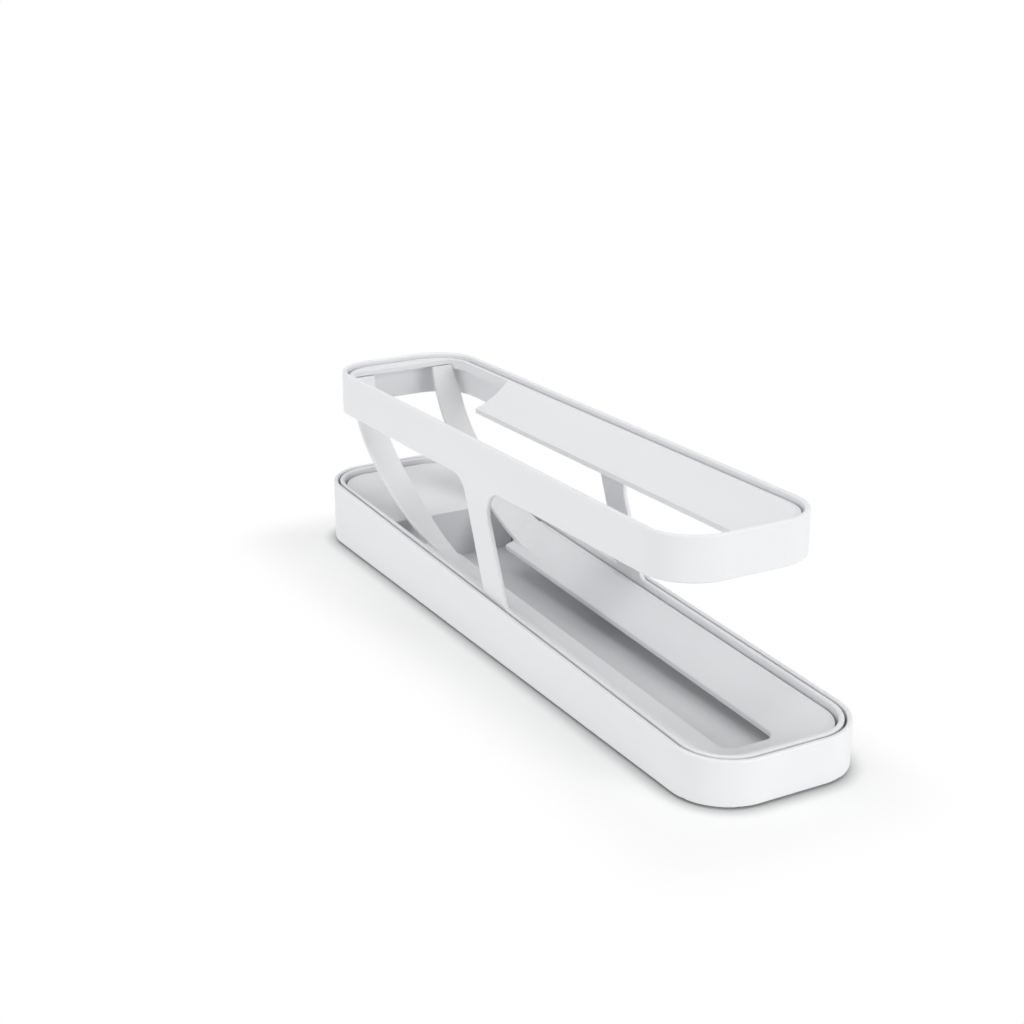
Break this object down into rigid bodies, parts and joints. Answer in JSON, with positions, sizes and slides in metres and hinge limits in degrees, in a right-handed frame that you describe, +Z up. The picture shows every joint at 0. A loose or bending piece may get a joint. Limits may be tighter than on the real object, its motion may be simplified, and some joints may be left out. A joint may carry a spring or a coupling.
{
  "type": "egg dispenser",
  "caption": "Two-tier rolling egg dispenser: a rack with sloping slotted trough tracks and a curved rear chute, standing in a long rounded tray.",
  "frame": {"origin": "on the ground under the middle of the base tray", "axes": "+X across the width, +Y along the length from the low front to the high rear, +Z up"},
  "size_m": [0.0822, 0.3672, 0.1024],
  "materials": {
    "tray_plastic": "fine satin white",
    "rack_plastic": "fine satin white",
    "track_plastic": "satin white",
    "rail_plastic": "satin white",
    "foot_rubber": "matte grey"
  },
  "bodies": {
    "base": {"base_tray": "tray_plastic", "front_left_foot": "foot_rubber", "front_right_foot": "foot_rubber", "rear_left_foot": "foot_rubber", "rear_right_foot": "foot_rubber"},
    "rack": {"rack_frame": "rack_plastic", "lower_track": "track_plastic", "rear_deck": "track_plastic", "left_chute_rail": "rail_plastic", "right_chute_rail": "rail_plastic"},
    "top_track": {"upper_track": "track_plastic"}
  },
  "joints": [
    {"name": "rack_lift", "type": "slide", "parent": "base", "child": "rack", "axis": [0, 0, 1], "range_m": [0, 0.04]},
    {"name": "upper_track_lift", "type": "slide", "parent": "rack", "child": "top_track", "axis": [0, 0, 1], "range_m": [0, 0.025]}
  ]
}
